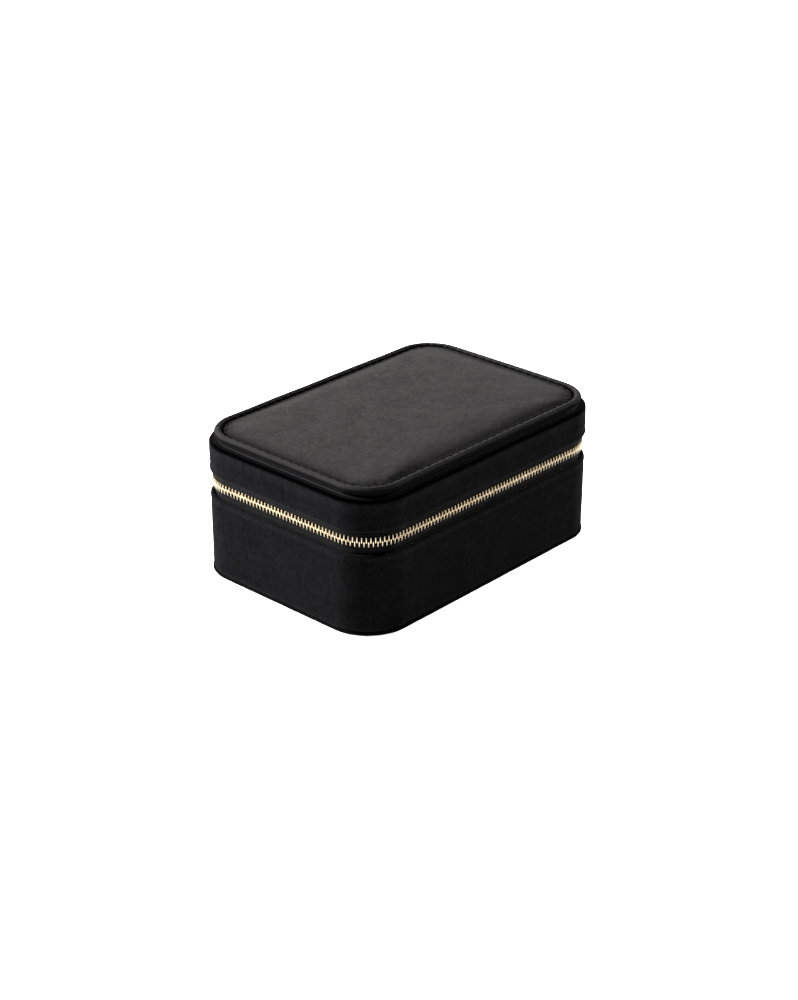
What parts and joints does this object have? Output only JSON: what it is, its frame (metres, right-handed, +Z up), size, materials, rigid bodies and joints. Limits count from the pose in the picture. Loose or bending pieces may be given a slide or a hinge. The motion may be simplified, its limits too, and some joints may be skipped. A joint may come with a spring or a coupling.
{
  "type": "travel jewelry case",
  "caption": "Rounded oblong velvet-covered case with a padded, piped lid, a metal zip round its sides, a mirror in the lid and a divided tray with ring rolls.",
  "frame": {"origin": "middle of the underside, where the case rests", "axes": "+X along the case's length towards the end with the zip sliders, -Y to its front, +Y to its hinge, +Z up"},
  "size_m": [0.1677, 0.115, 0.0728],
  "materials": {
    "outer_velvet": "black short-pile velvet",
    "lining_velvet": "black velvet lining",
    "board": "raw grey board",
    "foam": "open-cell foam",
    "zip_tape": "black herringbone tape",
    "zip_metal": "pale gold plated",
    "mirror": "silvered glass"
  },
  "bodies": {
    "base": {"base_bottom_panel": "outer_velvet", "base_cover": "outer_velvet", "base_wall_board": "board", "base_floor_board": "board", "base_floor_lining": "lining_velvet", "base_wall_lining": "lining_velvet", "ring_bank_board": "board", "ring_roll_1": "lining_velvet", "ring_roll_2": "lining_velvet", "ring_roll_3": "lining_velvet", "ring_roll_4": "lining_velvet", "ring_roll_5": "lining_velvet", "ring_roll_6": "lining_velvet", "long_divider_left": "lining_velvet", "long_divider_right": "lining_velvet", "cross_divider_left": "lining_velvet", "cross_divider_right": "lining_velvet", "cross_divider_middle": "lining_velvet", "zip_tape_lower": "zip_tape", "zip_teeth_lower": "zip_metal", "zip_stop_lower_left": "zip_metal", "zip_stop_lower_right": "zip_metal", "hinge_strip_lower": "outer_velvet"},
    "lid": {"lid_cover": "outer_velvet", "lid_wall_board": "board", "lid_wall_lining": "lining_velvet", "lid_ceiling_lining": "lining_velvet", "lid_top_board": "board", "lid_top_foam": "foam", "lid_top_cover": "outer_velvet", "lid_piping": "outer_velvet", "lid_mirror": "mirror", "lid_mirror_frame": "lining_velvet", "zip_tape_upper": "zip_tape", "zip_teeth_upper": "zip_metal", "zip_stop_upper_left": "zip_metal", "zip_stop_upper_right": "zip_metal", "hinge_strip_upper": "outer_velvet"},
    "slider_front": {"zip_slider_front": "zip_metal"},
    "slider_rear": {"zip_slider_rear": "zip_metal"},
    "pull_front": {"zip_pull_front": "zip_metal"},
    "pull_rear": {"zip_pull_rear": "zip_metal"}
  },
  "joints": [
    {"name": "lid_hinge", "type": "hinge", "parent": "base", "child": "lid", "pos_m": [0, 0.057, 0.0461], "axis": [-1, 0, 0], "range_deg": [0, 110]},
    {"name": "slider_front_slide", "type": "slide", "parent": "base", "child": "slider_front", "axis": [0, -1, 0], "range_m": [0, 0.026]},
    {"name": "slider_rear_slide", "type": "slide", "parent": "base", "child": "slider_rear", "axis": [0, 1, 0], "range_m": [0, 0.026]},
    {"name": "pull_front_swing", "type": "hinge", "parent": "slider_front", "child": "pull_front", "pos_m": [0.0842, -0.005, 0.0461], "axis": [0, -1, 0], "range_deg": [0, 170]},
    {"name": "pull_rear_swing", "type": "hinge", "parent": "slider_rear", "child": "pull_rear", "pos_m": [0.0842, 0.005, 0.0461], "axis": [0, -1, 0], "range_deg": [0, 170]}
  ]
}
